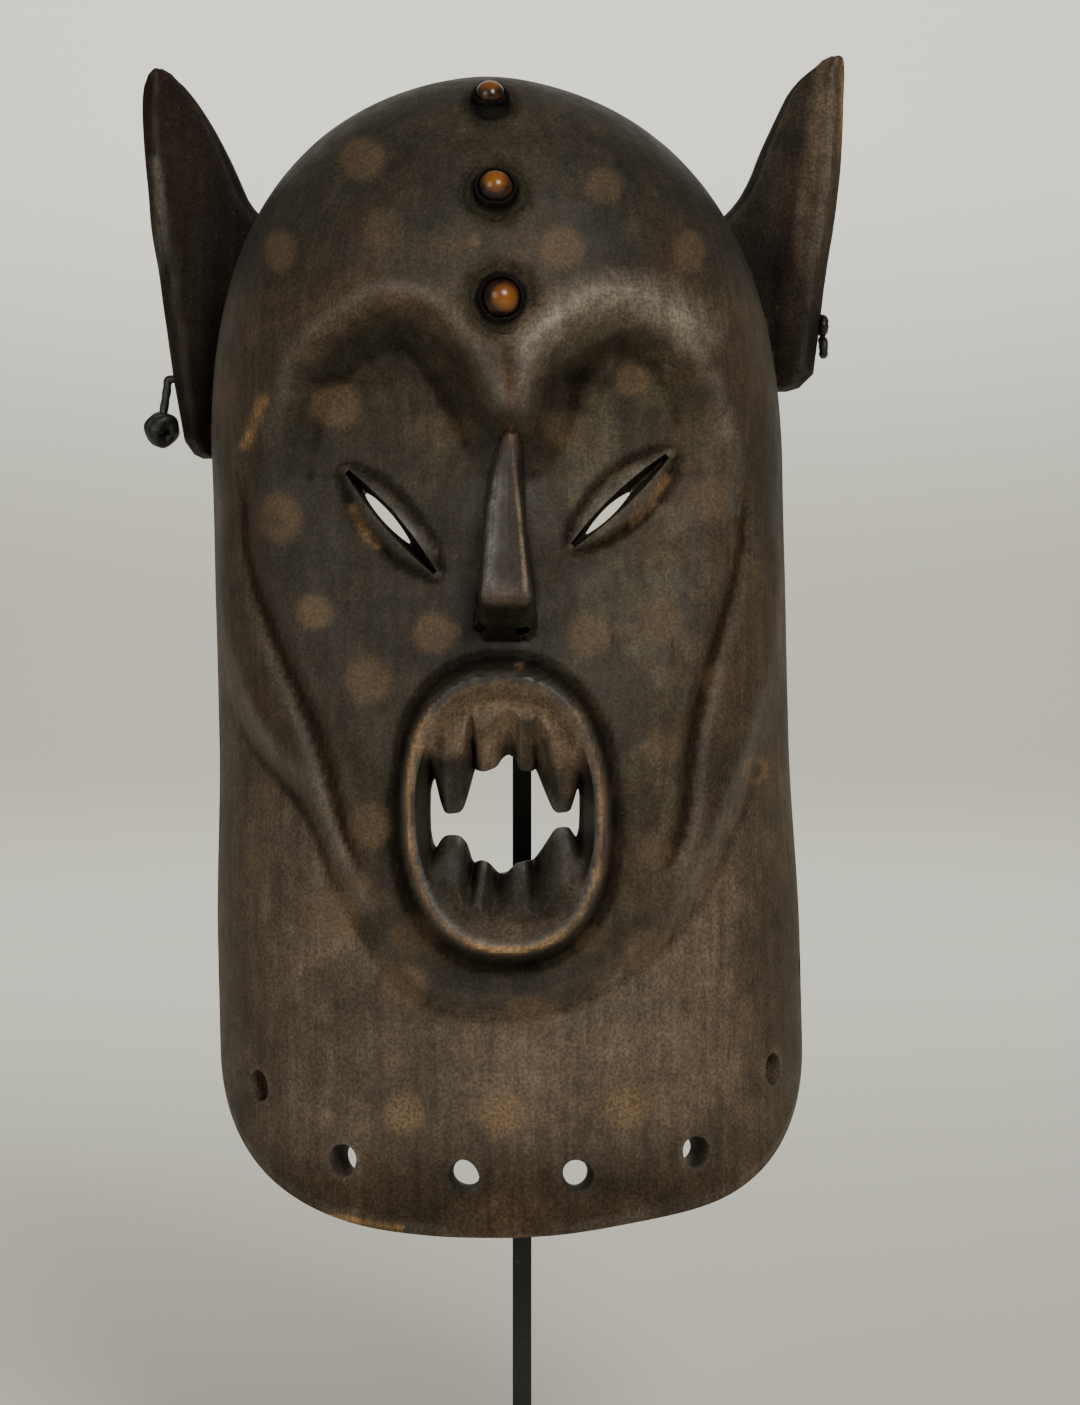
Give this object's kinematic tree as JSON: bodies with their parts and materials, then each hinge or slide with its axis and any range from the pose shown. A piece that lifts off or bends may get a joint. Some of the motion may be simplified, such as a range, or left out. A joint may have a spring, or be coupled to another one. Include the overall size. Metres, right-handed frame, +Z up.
{
  "type": "carved mask on a stand",
  "caption": "Carved dark wood African mask with flat horn-like ears, amber glass beads and an open fanged mouth, held upright on a steel stand.",
  "frame": {"origin": "centre of the foot plate's underside, on the surface that the stand rests on", "axes": "+Z up, the face looks toward -Y, +X is to the right of someone facing it"},
  "size_m": [0.2465, 0.1717, 0.508],
  "materials": {
    "carved_wood": "dark waxed patina, worn and stained",
    "amber_glass": "polished",
    "black_leather": "glossy, worn",
    "black_steel": "satin black paint"
  },
  "bodies": {
    "root": {"mask": "carved_wood", "bead_low": "amber_glass", "bead_middle": "amber_glass", "bead_top": "amber_glass", "left_ear_thong": "black_leather", "right_ear_thong": "black_leather", "stand_rod": "black_steel", "stand_base": "black_steel"}
  },
  "joints": []
}
